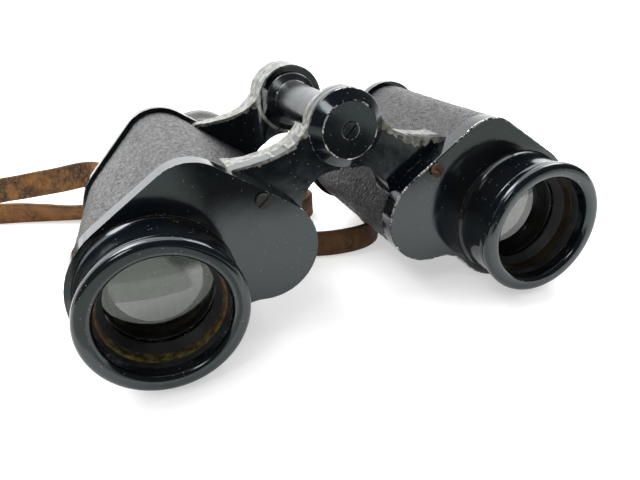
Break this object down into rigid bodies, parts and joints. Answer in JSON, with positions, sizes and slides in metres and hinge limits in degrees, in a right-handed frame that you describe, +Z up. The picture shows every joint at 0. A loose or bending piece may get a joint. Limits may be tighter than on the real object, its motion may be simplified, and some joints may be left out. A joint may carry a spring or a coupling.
{
  "type": "binoculars",
  "caption": "Prismatic binoculars: two leather-clad barrels on a centre hinge, individually focused eyepieces and a leather neck strap.",
  "frame": {"origin": "centre of the bounding box of the binoculars without the strap, on the surface they stand on", "axes": "+Z up, -Y towards the objectives along the hinge axis, +X towards the right barrel seen from the objectives"},
  "size_m": [0.3828, 0.1686, 0.0715],
  "materials": {
    "black_lacquer": "gloss black lacquer over an alloy casting, worn to bare metal on the edges",
    "leatherette": "fine crinkled black leatherette",
    "aged_brass": "tarnished",
    "matt_black": "matt black",
    "lens_glass": "polished",
    "dark_steel": "blackened, worn",
    "bright_steel": "ground",
    "black_bakelite": "satin",
    "strap_leather": "old brown leather, mottled"
  },
  "bodies": {
    "left_barrel": {"left_housing": "black_lacquer", "left_front_arm": "black_lacquer", "left_rear_arm": "black_lacquer", "left_leather": "leatherette", "left_front_cover": "black_lacquer", "left_rear_cover": "black_lacquer", "left_objective_tube": "black_lacquer", "left_objective_ring": "aged_brass", "left_objective_cell": "matt_black", "left_objective_crown": "lens_glass", "left_objective_flint": "lens_glass", "left_rear_prism": "lens_glass", "left_front_prism": "lens_glass", "left_prism_clips": "aged_brass", "left_cover_screws": "dark_steel", "left_eyepiece_guide": "black_lacquer", "left_strap_lug": "dark_steel", "left_strap_end": "strap_leather", "left_strap_keeper": "strap_leather", "hinge_axle": "bright_steel", "hinge_tube": "black_lacquer", "hinge_cap": "black_lacquer", "hinge_cap_screw": "dark_steel", "hinge_rear_cap": "black_lacquer", "hinge_rear_screw": "dark_steel", "strap_band": "strap_leather"},
    "right_barrel": {"right_housing": "black_lacquer", "right_front_arm": "black_lacquer", "right_rear_arm": "black_lacquer", "right_leather": "leatherette", "right_front_cover": "black_lacquer", "right_rear_cover": "black_lacquer", "right_objective_tube": "black_lacquer", "right_objective_ring": "aged_brass", "right_objective_cell": "matt_black", "right_objective_crown": "lens_glass", "right_objective_flint": "lens_glass", "right_rear_prism": "lens_glass", "right_front_prism": "lens_glass", "right_prism_clips": "aged_brass", "right_cover_screws": "dark_steel", "right_eyepiece_guide": "black_lacquer", "right_strap_lug": "dark_steel", "right_strap_end": "strap_leather", "right_strap_keeper": "strap_leather"},
    "left_ocular": {"left_ocular_tube": "matt_black", "left_field_lens": "lens_glass", "left_eye_lens": "lens_glass", "left_ocular_retainer": "aged_brass"},
    "left_dioptre": {"left_dioptre_ring": "black_lacquer", "left_eyecup": "black_bakelite"},
    "right_ocular": {"right_ocular_tube": "matt_black", "right_field_lens": "lens_glass", "right_eye_lens": "lens_glass", "right_ocular_retainer": "aged_brass"},
    "right_dioptre": {"right_dioptre_ring": "black_lacquer", "right_eyecup": "black_bakelite"}
  },
  "joints": [
    {"name": "hinge", "type": "hinge", "parent": "left_barrel", "child": "right_barrel", "pos_m": [0, 0, 0.0594], "axis": [0, -1, 0], "range_deg": [0, 44]},
    {"name": "left_focus_slide", "type": "slide", "parent": "left_barrel", "child": "left_ocular", "axis": [0, 1, 0], "range_m": [-0.002, 0.002]},
    {"name": "left_focus_turn", "type": "hinge", "parent": "left_ocular", "child": "left_dioptre", "pos_m": [-0.0292, 0.044, 0.0346], "axis": [0, 1, 0], "range_deg": [-120, 120]},
    {"name": "right_focus_slide", "type": "slide", "parent": "right_barrel", "child": "right_ocular", "axis": [0, 1, 0], "range_m": [-0.002, 0.002]},
    {"name": "right_focus_turn", "type": "hinge", "parent": "right_ocular", "child": "right_dioptre", "pos_m": [0.0292, 0.044, 0.0346], "axis": [0, 1, 0], "range_deg": [-120, 120]}
  ],
  "couplings": [
    {"joint": "left_focus_slide", "follows": "left_focus_turn", "m_per_rad": 0.00095},
    {"joint": "right_focus_slide", "follows": "right_focus_turn", "m_per_rad": 0.00095}
  ]
}
